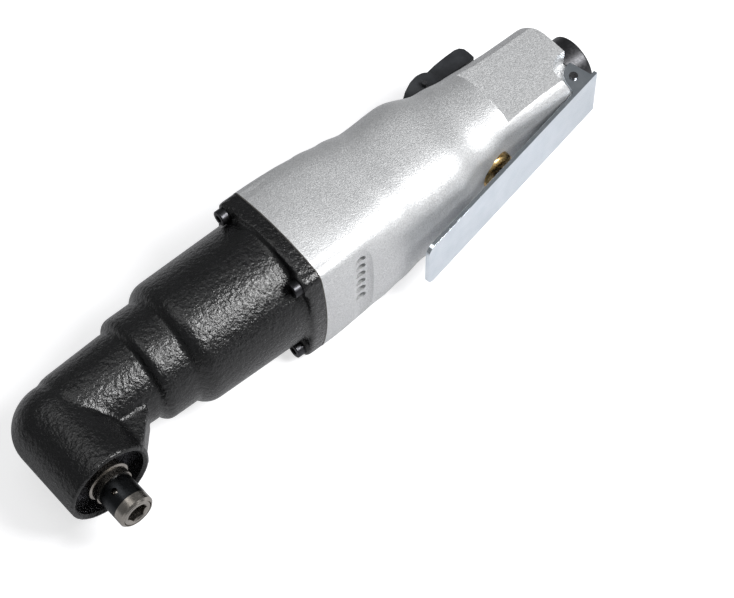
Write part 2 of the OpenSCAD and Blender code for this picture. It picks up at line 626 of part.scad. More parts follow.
// ---------------------------------------------------------------- throttle
module throttle_lever() stand() color("#c9ced4") translate([pivot_x, pivot_y, 0])
    rotate([0, 0, lever_slope]) {
        front = lever_tail - lever_len;
        translate([0, -plate_in, 0]) rotate([90, 0, 0]) linear_extrude(lever_t) difference() {
            translate([front, -lever_w / 2]) square([lever_len, lever_w]);
            for (s = [-1, 1]) translate([front, s * lever_w / 2]) difference() {
                square(2 * lever_corner, center = true);
                translate([lever_corner, -s * lever_corner]) circle(r = lever_corner);
            }
        }
        difference() {
            for (s = [-1, 1]) translate([0, 0, s * (lever_w - lever_t) / 2 - lever_t / 2])
                linear_extrude(lever_t) polygon([[-6.6, -plate_in - 0.1], [-4, -0.6], [-2.4, 2.6],
                    [0.4, 4.2], [3.4, 4.7], [4.2, 4.2], [4.5, -plate_in - 0.1]]);
            translate([0, 0, -lever_w]) cylinder(h = 2 * lever_w, r = pivot_r + run);
        }
    }
module lever_pin() stand() color("#8f9296") translate([pivot_x, pivot_y, -lever_w / 2 - 0.6])
    cylinder(h = lever_w + 1.2, r = pivot_r);
module throttle_valve_bush() stand() color("#b08a3e") translate([valve_x, 0, 0]) difference() {
    union() {
        turned_y([[0, bush_face_y], [bush_r - 1.2, bush_face_y], [bush_r, bush_face_y + 1.2],
            [bush_r, -grip_low - fit], [0, -grip_low - fit]]);
        rod_y(-grip_low - 0.5, bush_seat_y, bush_r - 0.6);
    }
    rod_y(bush_face_y - over, bush_seat_y + over, stem_r + run);
}
module throttle_valve_stem() stand() color("#3c3d40") translate([valve_x, 0, 0]) {
    translate([0, stem_tip_y, 0]) sphere(r = stem_r);
    rod_y(stem_tip_y, poppet_y, stem_r);
    rod_y(poppet_y, poppet_y + 2, poppet_r);
    rod_y(poppet_y, poppet_y + 5, stem_r);
}
module throttle_o_ring() stand() color("#161617") translate([valve_x, 0, 0])
    face_y((bush_seat_y + poppet_y) / 2) rotate_extrude() translate([3.1, 0])
        circle(r = (poppet_y - bush_seat_y) / 2 - run, $fn = 24);
// Coil spring: a six-sided wire swept round the valve's axis
module throttle_spring() stand() color("#8c8f94") translate([valve_x, 0, 0]) {
    sides = 6;
    steps = 16 * spring_turns;
    low = poppet_y + 2 + spring_wire_r + run;
    rise = spring_end_y - 2 * spring_wire_r - poppet_y - 2 - 2 * run;
    rings = [for (i = [0:steps], j = [0:sides - 1])
        let (a = 360 * spring_turns * i / steps, b = 360 * j / sides,
            r = spring_mean_r + spring_wire_r * cos(b))
        [r * cos(a), low + rise * i / steps + spring_wire_r * sin(b), r * sin(a)]];
    polyhedron(rings, concat([[for (j = [0:sides - 1]) j]],
        [for (i = [0:steps - 1], j = [0:sides - 1]) let (k = (j + 1) % sides)
            [i * sides + k, i * sides + j, (i + 1) * sides + j, (i + 1) * sides + k]],
        [[for (j = [sides - 1:-1:0]) steps * sides + j]]));
}

// ---------------------------------------------------------------- reversing
module reverse_valve() stand() color("#6f7277") translate([reverse_x, 0, 0]) difference() {
    union() {
        rod_y(spool_y[0], spool_y[1], spool_r);
        rod_y(spool_y[1] - 0.5, reverse_seat_y + reverse_hub_h - 0.6, reverse_stem_r);
    }
    translate([-10, 9, 0]) rod_x(0, 20, 2.2);
    difference() {
        rod_y(spool_y[1] - 3.6, spool_y[1] - 2.2, spool_r + over);
        rod_y(spool_y[1] - 4, spool_y[1], spool_r - 1);
    }
    at_roll_pin(roll_pin_r + fit);
}
module at_roll_pin(r) translate([0, reverse_seat_y + 2.1, -reverse_hub_r - 0.3])
    cylinder(h = 2 * reverse_hub_r + 0.6, r = r);
module reverse_o_ring() stand() color("#161617") translate([reverse_x, 0, 0])
    face_y(spool_y[1] - 2.9) rotate_extrude() translate([spool_r - 0.5, 0]) circle(r = 0.5, $fn = 24);
module reverse_lever() stand() color("#2b2d31") translate([reverse_x, 0, 0]) difference() {
    union() {
        turned_y([[0, reverse_seat_y + 0.3], [reverse_hub_r, reverse_seat_y + 0.3],
            [reverse_hub_r, reverse_seat_y + reverse_hub_h - 1.4],
            [reverse_hub_r - 1.4, reverse_seat_y + reverse_hub_h], [0, reverse_seat_y + reverse_hub_h]]);
        // pointed nose and tapered tail
        face_y(reverse_seat_y + 0.3) linear_extrude(2.6) polygon([[-reverse_hub_r - 3, 0],
            [-4, -6.2], [0, -reverse_hub_r], [reverse_reach - 3, -5], [reverse_reach, -3],
            [reverse_reach, 3], [reverse_reach - 3, 5], [0, reverse_hub_r], [-4, 6.2]]);
        // raised thumb piece
        translate([0, 0, -5]) linear_extrude(10) polygon([[7.5, reverse_seat_y + 1],
            [8.5, reverse_seat_y + 4], [12, reverse_seat_y + 5.6], [reverse_reach - 4, reverse_top_y],
            [reverse_reach - 1.5, reverse_top_y - 0.6], [reverse_reach, reverse_top_y - 2.6],
            [reverse_reach, reverse_seat_y + 1]]);
    }
    rod_y(reverse_seat_y - over, reverse_seat_y + reverse_hub_h - 0.5, reverse_stem_r + fit);
    at_roll_pin(roll_pin_r + fit);
}
module reverse_roll_pin() stand() color("#5e6166") translate([reverse_x, 0, 0]) at_roll_pin(roll_pin_r);

// ---------------------------------------------------------------- air inlet
module inlet_bushing() stand() color("#55565a") difference() {
    union() {
        drum(housing_end_x, inlet_end_x, inlet_d / 2, inlet_d / 2, 0.3, 0.8);
        rod_x(screen_x + 1.8, housing_end_x + 0.5, inlet_thread_r);
    }
    rod_x(screen_x, inlet_end_x, 4.5);
    rod_x(inlet_end_x - inlet_bore_len, inlet_end_x + over, inlet_bore_r);
    difference() {
        rod_x(screen_x + 3, screen_x + 4.2, inlet_thread_r + over);
        rod_x(screen_x + 2, screen_x + 5, inlet_thread_r - 1);
    }
}
module inlet_screen() stand() color("#a7a9ac") difference() {
    rod_x(screen_x + 0.1, screen_x + 1.7, inlet_thread_r - 0.1);
    for (ring = [[0, 1], [2.6, 6], [5, 12]], k = [0:ring[1] - 1])
        rotate([360 * k / ring[1], 0, 0]) translate([0, ring[0], 0])
            rod_x(screen_x - over, screen_x + 3, 0.8);
}
module inlet_o_ring() stand() color("#161617") face_x(screen_x + 3.6) rotate_extrude()
    translate([inlet_thread_r - 0.5, 0]) circle(r = 0.5, $fn = 24);

front_casing();
main_housing();
casing_gasket();
flange_screws();
front_end_plate();
front_rotor_bearing();
cylinder_liner();
liner_dowels();
rotor();
rotor_vanes();
rear_end_plate();
rear_rotor_bearing();
gear_spacer();
ring_gear();
planet_gear(0);  // planet_gear_1
planet_gear(1);  // planet_gear_2
planet_gear(2);  // planet_gear_3
planet_pins();
planet_carrier();
carrier_bearing();
pinion_bearing();
pinion_circlip();
bevel_pinion();
bevel_gear();
output_spindle();
spindle_upper_bush();
spindle_lower_bearing();
nose_circlip();
bit_retaining_sleeve();
chuck_tip_ring();
bit_ball();
throttle_lever();
lever_pin();
throttle_valve_bush();
throttle_valve_stem();
throttle_o_ring();
throttle_spring();
reverse_lever();
reverse_valve();
reverse_roll_pin();
reverse_o_ring();
inlet_bushing();
inlet_screen();
inlet_o_ring();
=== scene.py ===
# %% [markdown]
# # A right-angle air screwdriver, finished in Blender
# The tool is a black-painted gear case and bevel head bolted to a bead-blasted
# aluminium grip. A hex-bit chuck leaves the head at a right angle, a bright
# sheet lever opens the air, and a black lever reverses the motor.
# The measured model is loaded first. Every piece made here is built in its
# place around that model, in metres, so that nothing has to be fitted later.

# %% Load the measured model
import json
from math import atan2, cos, pi, radians, sin

import bmesh
import bpy
from mathutils import Matrix, Vector


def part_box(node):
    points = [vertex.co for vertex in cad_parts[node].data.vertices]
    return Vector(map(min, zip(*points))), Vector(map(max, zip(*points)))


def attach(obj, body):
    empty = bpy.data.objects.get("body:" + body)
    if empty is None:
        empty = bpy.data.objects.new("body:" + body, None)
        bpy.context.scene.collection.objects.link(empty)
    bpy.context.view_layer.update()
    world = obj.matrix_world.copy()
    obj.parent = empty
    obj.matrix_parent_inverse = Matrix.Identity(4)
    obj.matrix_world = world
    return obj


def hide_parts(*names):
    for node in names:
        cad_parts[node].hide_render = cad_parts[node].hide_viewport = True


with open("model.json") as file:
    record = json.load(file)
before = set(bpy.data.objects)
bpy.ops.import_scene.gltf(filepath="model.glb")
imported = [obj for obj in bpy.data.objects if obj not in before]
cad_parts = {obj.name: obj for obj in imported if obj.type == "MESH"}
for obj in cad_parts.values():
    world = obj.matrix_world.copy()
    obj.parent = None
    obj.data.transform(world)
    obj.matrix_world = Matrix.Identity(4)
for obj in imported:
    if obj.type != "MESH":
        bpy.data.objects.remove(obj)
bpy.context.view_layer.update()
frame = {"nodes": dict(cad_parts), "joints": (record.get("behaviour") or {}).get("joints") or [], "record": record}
nodes = frame["nodes"]
joints = {joint["name"]: joint for joint in frame["joints"]}
print("pieces in the measured model:", len(nodes))

# %% [markdown]
# ## Where things are
# Both shafts cross at one point inside the head. It is read from the joints:
# the motor turns about a line along X, and the chuck about a line along Y.
# Sizes below are in millimetres from that crossing, because a tool drawing
# gives them so, and one helper turns them into places in the model.

# %% The crossing of the shafts, and the tool's own coordinates
MM = 0.001
motor_line = Vector(joints["rotor_spin"]["pos_m"])
chuck_line = Vector(joints["spindle_spin"]["pos_m"])
crossing = Vector((chuck_line.x, motor_line.y, motor_line.z))


def at(x, y, z):
    """A place in the model, from millimetres along the tool's own axes."""
    return crossing + Vector((x, y, z)) * MM


def span(node, axis):
    """Lowest and highest millimetre of a measured piece along one axis."""
    low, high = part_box(node)
    return ((low[axis] - crossing[axis]) / MM, (high[axis] - crossing[axis]) / MM)


X, Y = 0, 1           # places of the two axes in a vector
print("crossing of the shafts:", [round(v, 4) for v in crossing])

# %% [markdown]
# ## The camera
# The tool lies on its side and is seen from above its chuck. A long lens keeps
# the far end from shrinking. The camera comes first, because every finish is
# judged through it.

# %% Camera
VIEW_TURN = radians(40.7)
VIEW_RISE = radians(57.7)
VIEW_RANGE = 819 * MM
AIM_RIGHT, AIM_UP = 97.2 * MM, 40.2 * MM
LENS = 127.5
right = Vector((cos(VIEW_TURN), -sin(VIEW_TURN), 0))
back = Vector((-sin(VIEW_TURN) * cos(VIEW_RISE), -cos(VIEW_TURN) * cos(VIEW_RISE), sin(VIEW_RISE)))
up = back.cross(right)

camera = bpy.data.objects.new("camera", bpy.data.cameras.new("camera"))
camera.data.lens = LENS
camera.data.sensor_width = 36
camera.matrix_world = Matrix.Translation(
    crossing + right * AIM_RIGHT + up * AIM_UP + back * VIEW_RANGE
) @ Matrix((right, up, back)).transposed().to_4x4()
bpy.context.scene.collection.objects.link(camera)
bpy.context.scene.camera = camera
print("camera is", round(VIEW_RANGE, 3), "m away")

# %% [markdown]
# ## Finishes
# Every finish is made of noise, with no images. The noise is measured in
# Object coordinates, so its grain has a real size in millimetres and stays
# the same on a large casting and on a small pin. One noise tints the colour,
# a second varies the roughness, and a third raises a very small bump.

# %% Node helpers for the materials
def node(tree, kind, **values):
    """A shader node with its settings and the values of its own sockets."""
    made = tree.nodes.new(kind)
    for key, value in values.items():
        if key in made.inputs:
            made.inputs[key].default_value = value
        else:
            setattr(made, key, value)
    return made


def material(name, **sockets):
    """A new material, its tree, its shader and its object coordinates."""
    made = bpy.data.materials.new(name)
    made.use_nodes = True
    tree = made.node_tree
    shader = tree.nodes["Principled BSDF"]
    for key, value in sockets.items():
        shader.inputs[key.replace("_", " ")].default_value = value
    place = node(tree, "ShaderNodeTexCoord").outputs["Object"]
    return made, tree, shader, place


def noise(tree, place, size_mm, detail=3.0, rough=0.55):
    """Noise whose blobs are about that many millimetres across."""
    made = node(tree, "ShaderNodeTexNoise", Scale=1 / (size_mm * MM), Detail=detail,
                Roughness=rough)
    tree.links.new(place, made.inputs["Vector"])
    return made.outputs["Fac"]


def ranged(tree, value, low, high, first=0.35, last=0.65):
    """The value stretched to run from low to high."""
    made = node(tree, "ShaderNodeMapRange", **{"From Min": first, "From Max": last,
                                               "To Min": low, "To Max": high})
    tree.links.new(value, made.inputs["Value"])
    return made.outputs["Result"]


def tinted(tree, shader, value, dark, light, first=0.3, last=0.7):
    """Base colour that runs from dark to light with the value."""
    ramp = node(tree, "ShaderNodeValToRGB")
    ramp.color_ramp.elements[0].position, ramp.color_ramp.elements[1].position = first, last
    ramp.color_ramp.elements[0].color = (*dark, 1)
    ramp.color_ramp.elements[1].color = (*light, 1)
    tree.links.new(value, ramp.inputs["Fac"])
    tree.links.new(ramp.outputs["Color"], shader.inputs["Base Color"])


def embossed(tree, shader, height, depth_mm, strength=1.0, under=None):
    """A bump of that depth on the shader, on top of another bump if given."""
    bump = node(tree, "ShaderNodeBump", Strength=strength, Distance=depth_mm * MM)
    tree.links.new(height, bump.inputs["Height"])
    if under:
        tree.links.new(under.outputs["Normal"], bump.inputs["Normal"])
    tree.links.new(bump.outputs["Normal"], shader.inputs["Normal"])
    return bump


# %% Finishes of the two castings
def black_paint():
    """Thick semi-gloss paint over a sand casting: orange peel and fine grit."""
    made, tree, shader, place = material("black_casting_paint", Metallic=0.0, IOR=1.5)
    tinted(tree, shader, noise(tree, place, 9), (0.002, 0.002, 0.0022), (0.005, 0.005, 0.0055))
    tree.links.new(ranged(tree, noise(tree, place, 0.9, 3.0), 0.2, 0.36),
                   shader.inputs["Roughness"])
    grit = embossed(tree, shader, noise(tree, place, 0.6, 2.0), 0.12, 0.8)
    embossed(tree, shader, noise(tree, place, 1.5, 3.0), 0.45, 0.9, grit)
    return made


def blasted_aluminium():
    """Bead-blasted aluminium: a fine even grain with bright sparkle."""
    made, tree, shader, place = material("blasted_aluminium", Metallic=0.8)
    tinted(tree, shader, noise(tree, place, 0.4, 2.0, 0.7), (0.46, 0.465, 0.472), (0.74, 0.745, 0.75))
    tree.links.new(ranged(tree, noise(tree, place, 0.35, 1.0), 0.42, 0.68),
                   shader.inputs["Roughness"])
    cast = embossed(tree, shader, noise(tree, place, 3.5, 2.0), 0.12, 0.5)
    embossed(tree, shader, noise(tree, place, 0.45, 2.0), 0.13, 0.9, cast)
    return made


# %% Finishes of the metal pieces
def worked_metal(name, dark, light, rough, wear_mm=0.8, depth_mm=0.01, metal=1.0, coat=0.0):
    """Machined or plated metal: a slow change of tone over fine marks."""
    made, tree, shader, place = material(name, Metallic=metal, Coat_Weight=coat)
    tinted(tree, shader, noise(tree, place, 5), dark, light)
    tree.links.new(ranged(tree, noise(tree, place, wear_mm, 4.0), rough * 0.8, rough * 1.3),
                   shader.inputs["Roughness"])
    embossed(tree, shader, noise(tree, place, wear_mm / 2, 3.0), depth_mm, 0.6)
    return made


FINISHES = {
    "black_casting": black_paint(),
    "blasted_aluminium": blasted_aluminium(),
    "gasket": worked_metal("gasket_paper", (0.03, 0.028, 0.024), (0.06, 0.055, 0.05), 0.8, metal=0),
    "black_screws": worked_metal("black_oxide_screws", (0.03, 0.03, 0.033), (0.07, 0.07, 0.075), 0.33),
    "motor_steel": worked_metal("ground_steel", (0.42, 0.43, 0.45), (0.56, 0.57, 0.59), 0.3),
    "bearing_steel": worked_metal("bearing_steel", (0.5, 0.5, 0.5), (0.62, 0.62, 0.62), 0.2),
    "vane_resin": worked_metal("vane_resin", (0.2, 0.12, 0.06), (0.32, 0.2, 0.11), 0.6, metal=0),
    "gear_steel": worked_metal("gear_steel", (0.38, 0.38, 0.39), (0.5, 0.5, 0.51), 0.32),
    "spring_steel": worked_metal("spring_steel", (0.22, 0.22, 0.24), (0.34, 0.34, 0.36), 0.25),
    "spindle_steel": worked_metal("spindle_steel", (0.26, 0.24, 0.215), (0.4, 0.375, 0.345), 0.26),
    "sleeve_black": worked_metal("black_oxide_sleeve", (0.018, 0.019, 0.02), (0.035, 0.037, 0.04), 0.3),
    "bronze": worked_metal("sintered_bronze", (0.42, 0.27, 0.13), (0.56, 0.38, 0.2), 0.45),
    "brass": worked_metal("turned_brass", (0.3, 0.19, 0.075), (0.46, 0.32, 0.14), 0.26),
    "zinc_plate": worked_metal("bright_zinc", (0.66, 0.72, 0.78), (0.76, 0.81, 0.86), 0.16, 2.5, 0.02),
    "pin_steel": worked_metal("dark_steel", (0.12, 0.12, 0.125), (0.2, 0.2, 0.21), 0.3),
    "seal_rubber": worked_metal("nitrile_rubber", (0.01, 0.01, 0.01), (0.02, 0.02, 0.02), 0.6, metal=0),
    "reverse_black": worked_metal("reverse_coating", (0.014, 0.015, 0.017), (0.03, 0.032, 0.036), 0.4,
                                  0.7, 0.03, metal=0.2),
    "inlet_black": worked_metal("inlet_black_oxide", (0.055, 0.055, 0.058), (0.09, 0.09, 0.095), 0.38),
    "screen_wire": worked_metal("screen_steel", (0.5, 0.5, 0.5), (0.62, 0.62, 0.62), 0.3),
}
for part in frame["record"]["subparts"]:
    piece = nodes[part["node"]]
    piece.data.materials.clear()
    piece.data.materials.append(FINISHES[part["material_slot"]])
# The lower spindle bearing and the cylinder liner sit deep inside the head and the grip. They get dark steel in
# place of their own finish, as painted shade of those hollows.
nodes["spindle_lower_bearing"].data.materials[0] = FINISHES["pin_steel"]
nodes["cylinder_liner"].data.materials[0] = FINISHES["pin_steel"]
print("finishes:", len(FINISHES))

# %% [markdown]
# ## Making pieces
# A turned piece is a profile spun about its axis, as on a lathe. A casting is
# several closed volumes melted into one by a voxel remesh and then relaxed,
# which gives the soft fillets that a sand mould leaves. Machined holes are cut
# afterwards, so that they stay crisp. All pieces are built at their place,
# and their objects stay at the origin. A cut can leave points that lie almost
# on each other, and welding those keeps the next cut from failing.

# %% Bench: from a bmesh to a finished piece
SHARP = radians(32)
MELD = 3e-6           # points closer than this are one point
ALONG_X = Matrix.Rotation(pi / 2, 4, "Y")     # local +Z becomes +X
ALONG_Y = Matrix.Rotation(-pi / 2, 4, "X")    # local +Z becomes +Y


def placed(turn=None, x=0, y=0, z=0):
    """Matrix from local millimetres to the model, turned and then moved."""
    return Matrix.Translation(at(x, y, z)) @ (turn or Matrix()) @ Matrix.Scale(MM, 4)


def made_object(name, bm):
    """An object of the finished bmesh, smooth except across sharp edges."""
    bmesh.ops.recalc_face_normals(bm, faces=bm.faces)
    for face in bm.faces:
        face.smooth = True
    for edge in bm.edges:
        edge.smooth = edge.calc_face_angle(0) < SHARP
    mesh = bpy.data.meshes.new(name)
    bm.to_mesh(mesh)
    bm.free()
    made = bpy.data.objects.new(name, mesh)
    bpy.context.scene.collection.objects.link(made)
    return made


def applied(piece):
    """The same piece with its modifiers turned into plain mesh."""
    depsgraph = bpy.context.evaluated_depsgraph_get()
    mesh = bpy.data.meshes.new_from_object(piece.evaluated_get(depsgraph))
    piece.modifiers.clear()
    old, piece.data = piece.data, mesh
    bpy.data.meshes.remove(old)
    return piece


def finished(piece, slot, body, *replaced):
    """Give a piece its finish and its body, in place of measured pieces."""
    piece.data.materials.clear()
    piece.data.materials.append(FINISHES[slot])
    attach(piece, body)
    if replaced:
        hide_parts(*replaced)
    print(piece.name, len(piece.data.polygons), "faces")
    return piece


def lathe(bm, profile, where, steps=72):
    """Spin a profile of (radius, height) pairs about the local Z axis."""
    verts = [bm.verts.new(where @ Vector((r, 0, t))) for r, t in profile]
    edges = [bm.edges.new(pair) for pair in zip(verts, verts[1:])]
    axis = (where.to_3x3() @ Vector((0, 0, 1))).normalized()
    bmesh.ops.spin(bm, geom=verts + edges, cent=where.translation, axis=axis, angle=2 * pi,
                   steps=steps, use_merge=True, use_duplicate=False)
    bmesh.ops.remove_doubles(bm, verts=bm.verts, dist=1e-6)
    return bm


def arc(r, t, radius, start, stop, steps=6):
    """Points of a rounded profile corner about a centre (r, t), in degrees."""
    return [(r + radius * cos(radians(start + (stop - start) * i / steps)),
             t + radius * sin(radians(start + (stop - start) * i / steps)))
            for i in range(steps + 1)]


def drum(bm, x0, x1, r0, r1, front, rear):
    """A closed round body along X with rounded front and rear edges."""
    profile = [(0, x0)] + arc(r0 - front, x0 + front, front, -90, 0)
    profile += arc(r1 - rear, x1 - rear, rear, 0, 90) + [(0, x1)]
    return lathe(bm, profile, placed(ALONG_X))


def prism(bm, outline, where, height):
    """A closed plate of an outline in local XY, from z = 0 up to height."""
    verts = [bm.verts.new(where @ Vector((a, b, 0))) for a, b in outline]
    face = bm.faces.new(verts)
    raised = bmesh.ops.extrude_face_region(bm, geom=[face])
    moved = [item for item in raised["geom"] if isinstance(item, bmesh.types.BMVert)]
    rise = where.to_3x3() @ Vector((0, 0, height))
    bmesh.ops.translate(bm, verts=moved, vec=rise)
    bm.faces.ensure_lookup_table()
    bmesh.ops.recalc_face_normals(bm, faces=bm.faces)
    return bm


def melted(piece, voxel, passes):
    """Fuse the piece's volumes and relax its edges, as a casting."""
    remesh = piece.modifiers.new("melt", "REMESH")
    remesh.mode, remesh.voxel_size, remesh.use_smooth_shade = "VOXEL", voxel * MM, True
    relax = piece.modifiers.new("relax", "SMOOTH")
    relax.factor, relax.iterations = 0.5, passes
    return applied(piece)


def combined(piece, other, operation):
    """Unite, cut or intersect the piece with another closed volume."""
    knife = piece.modifiers.new("knife", "BOOLEAN")
    knife.operation, knife.object, knife.solver = operation, other, "EXACT"
    applied(piece)
    bpy.data.objects.remove(other)
    return piece


def cut(piece, cutter):
    """Take the cutter's volume away from the piece, and weld what it left."""
    combined(piece, made_object("cutter", cutter), "DIFFERENCE")
    bm = bmesh.new()
    bm.from_mesh(piece.data)
    bmesh.ops.remove_doubles(bm, verts=bm.verts, dist=MELD)
    bmesh.ops.dissolve_degenerate(bm, edges=bm.edges, dist=MELD)
    for edge in bm.edges:
        edge.smooth = edge.calc_face_angle(0) < SHARP
    for face in bm.faces:
        face.smooth = True
    bm.to_mesh(piece.data)
    bm.free()
    return piece


def slab(xs, ys, zs):
    """A closed block between the given limits along X, Y and Z."""
    bm = bmesh.new()
    bmesh.ops.create_cube(bm, size=1)
    size = Vector((xs[1] - xs[0], ys[1] - ys[0], zs[1] - zs[0])) * MM
    middle = at(sum(xs) / 2, sum(ys) / 2, sum(zs) / 2)
    bmesh.ops.transform(bm, verts=bm.verts,
                        matrix=Matrix.Translation(middle) @ Matrix.Diagonal((*size, 1)))
    return bm


def rod(bm, start, end, radius, turn, x=0, y=0, z=0, steps=48):
    """A plain round volume from start to end along the turned axis."""
    return lathe(bm, [(0, start), (radius, start), (radius, end), (0, end)],
                 placed(turn, x, y, z), steps)


# %% [markdown]
# ## Front casting
# Head, neck, step, drum and flange are one sand casting. Its outline has soft
# fillets everywhere, apart from the machined nose bore and the flange's rear
# face. It is melted from plain volumes that follow the measured model.

# %% Flange outline: bulged sides between four screw corners
FLANGE_T = 5.5
FLANGE_REAR = span("casing_gasket", X)[0]
FLANGE_FRONT = FLANGE_REAR - FLANGE_T
FLANGE_HALF = 24.5
BULGE_R = 80
CORNER_R = 4
BULGE_OFF = BULGE_R - FLANGE_HALF
SCREW_AT = ((2 * (BULGE_R - CORNER_R) ** 2 - BULGE_OFF ** 2) ** 0.5 - BULGE_OFF) / 2
SCREWS = [(y, z) for y in (-SCREW_AT, SCREW_AT) for z in (-SCREW_AT, SCREW_AT)]
print("flange screws:", round(SCREW_AT, 2), "mm from the axis, across and up")


def flange_reach(angle):
    """Distance of the flange's edge from the axis in one direction."""
    a = (angle + pi / 4) % (pi / 2) - pi / 4
    side = -BULGE_OFF * cos(a) + (BULGE_R ** 2 - (BULGE_OFF * sin(a)) ** 2) ** 0.5
    along = SCREW_AT * (cos(a) + abs(sin(a)))
    across = SCREW_AT * (cos(a) - abs(sin(a)))
    if abs(across) > CORNER_R:
        return side
    return min(side, along + (CORNER_R ** 2 - across ** 2) ** 0.5)


def flange_outline(steps=120):
    """Points of the flange outline, evenly spaced by direction."""
    turns = [2 * pi * i / steps for i in range(steps)]
    return [(flange_reach(a) * cos(a), flange_reach(a) * sin(a)) for a in turns]


# %% Volumes of the casting
HEAD_R = 15.3
DOME = 0.92           # the back of the head is a little flatter than a ball
NOSE = 27.3
NECK_END, NECK_R = 28.7, 16.3
STEP_END, STEP_R = 42.0, 19.0
DRUM_R = (22.4, 23.0)
PAD_H, PAD_R = 0.9, 3.8
WEB_T = 13
VOXEL, RELAXING = 0.62, 6


def head_volumes():
    """Closed volumes that together fill the front casting."""
    bm = bmesh.new()
    bmesh.ops.create_uvsphere(bm, u_segments=48, v_segments=32, radius=HEAD_R * MM,
                              matrix=Matrix.Translation(crossing) @ Matrix.Diagonal((1, DOME, 1, 1)))
    lathe(bm, [(0, -NOSE), (HEAD_R - 0.3, -NOSE), (HEAD_R, -NOSE + 0.3), (HEAD_R, 0), (0, 0)],
          placed(ALONG_Y))
    drum(bm, -2, NECK_END + 1.5, HEAD_R, NECK_R, 8, 2.2)
    drum(bm, NECK_END + 1, STEP_END + 2, STEP_R, STEP_R + 0.1, 3, 1)
    drum(bm, STEP_END, FLANGE_FRONT + 2, DRUM_R[0], DRUM_R[1], 6.5, 0.5)
    prism(bm, flange_outline(), placed(ALONG_X, FLANGE_FRONT), FLANGE_REAR - FLANGE_FRONT + 2)
    for y, z in SCREWS:
        rod(bm, FLANGE_FRONT - PAD_H, FLANGE_FRONT + 2, PAD_R, ALONG_X, 0, y, z, 24)
    web = [(HEAD_R - 4, -NECK_R + 5), (HEAD_R + 8.5, -NECK_R + 2), (HEAD_R + 8, -NECK_R - 0.3),
           (HEAD_R + 0.6, -NOSE + 3), (HEAD_R - 4, -NOSE + 3)]
    prism(bm, web, placed(None, z=-WEB_T / 2), WEB_T)
    return bm


# %% Holes of the casting
NOSE_BORE, GROOVE = 13.03, 0.6
CROWN_ROOM, CROWN_BACK = 12.2, -3.5
BUSH_SEAT, BUSH_END = 6, 11.9
PINION_ROOM, PINION_NOSE = 9.1, 6.3
PINION_SEAT, CARRIER_SEAT, RING_SEAT = 11.02, 16.02, 20.03
SCREW_HOLE = 1.7


def nose_hole():
    """The machined nose: mouth, circlip groove, bearing seat and gear room."""
    bearing = span("spindle_lower_bearing", Y)
    clip = span("nose_circlip", Y)
    profile = [(0, -NOSE - 2), (NOSE_BORE + 3.1, -NOSE - 2), (NOSE_BORE + 0.2, -NOSE + 0.9),
               (NOSE_BORE, clip[0] - 0.05), (NOSE_BORE + GROOVE, clip[0] - 0.05),
               (NOSE_BORE + GROOVE, clip[1] + 0.03), (NOSE_BORE, clip[1] + 0.03),
               (NOSE_BORE, bearing[1] + 0.1), (CROWN_ROOM, bearing[1] + 0.1),
               (CROWN_ROOM, CROWN_BACK), (BUSH_SEAT, CROWN_BACK), (BUSH_SEAT, BUSH_END), (0, BUSH_END)]
    return lathe(bmesh.new(), profile, placed(ALONG_Y))


def motor_hole():
    """Rooms along the motor's axis, open at the rear face of the flange."""
    pinion, carrier = span("pinion_bearing", X), span("carrier_bearing", X)
    profile = [(0, PINION_NOSE), (PINION_ROOM, PINION_NOSE), (PINION_ROOM, pinion[0]),
               (PINION_SEAT, pinion[0]), (PINION_SEAT, carrier[0]), (CARRIER_SEAT, carrier[0]),
               (CARRIER_SEAT, carrier[1]), (RING_SEAT, carrier[1]),
               (RING_SEAT, FLANGE_REAR + 4), (0, FLANGE_REAR + 4)]
    return lathe(bmesh.new(), profile, placed(ALONG_X))


def screw_holes():
    """Four clearance holes through the flange."""
    bm = bmesh.new()
    for y, z in SCREWS:
        rod(bm, FLANGE_FRONT - 3, FLANGE_REAR + 4, SCREW_HOLE, ALONG_X, 0, y, z, 24)
    return bm


# %% The casting, melted and then machined
front = made_object("front_casting", head_volumes())
front = melted(front, VOXEL, RELAXING)
front = cut(front, slab((FLANGE_REAR, FLANGE_REAR + 6), (-40, 40), (-40, 40)))
for cutter in (nose_hole(), motor_hole(), screw_holes()):
    front = cut(front, cutter)
finished(front, "black_casting", "casing", "front_casing")

# %% [markdown]
# ## Grip
# The aluminium housing starts with the flange's outline, narrows to a waist,
# swells once under the palm and runs out into a round rear block. A ring of
# points is extruded along the tool, and each new ring is pushed out to the
# outline at its station. Flats, seats and holes are cut afterwards, as they
# are milled on the real casting.

# %% Stations of the grip: (distance behind the flange, size)
GRIP_START, GRIP_END = span("main_housing", X)
CORNER = ((0, 29.8), (14.7, 29.4), (24.7, 28.6), (34.7, 27), (44.7, 25.2), (59.7, 25.7),
          (75.7, 21.6), (86.7, 20.4), (98.7, 19.8), (106, 19.6))
UP = ((0, 24.5), (32.7, 24.5), (47.7, 25.5), (60, 27))
DOWN = ((0, 24.5), (14.7, 23), (32.7, 23.6), (47.7, 22.9), (59.7, 21.8), (75.7, 18), (87.7, 15.2))
SIDE = ((0, 24.5), (32.7, 23.8), (47.7, 22.6), (59.7, 22.8), (75.7, 20.5), (90.7, 19.6))
SQUARENESS = 14
BLEND_LEN = 26        # the flange's outline has faded out by here
END_ROUND = 3


def eased(stations, x):
    """Value between two stations, without a kink at either."""
    for (x0, v0), (x1, v1) in zip(stations, stations[1:]):
        if x <= x1:
            return v0 + (v1 - v0) * (1 - cos(pi * max(0, x - x0) / (x1 - x0))) / 2
    return stations[-1][1]


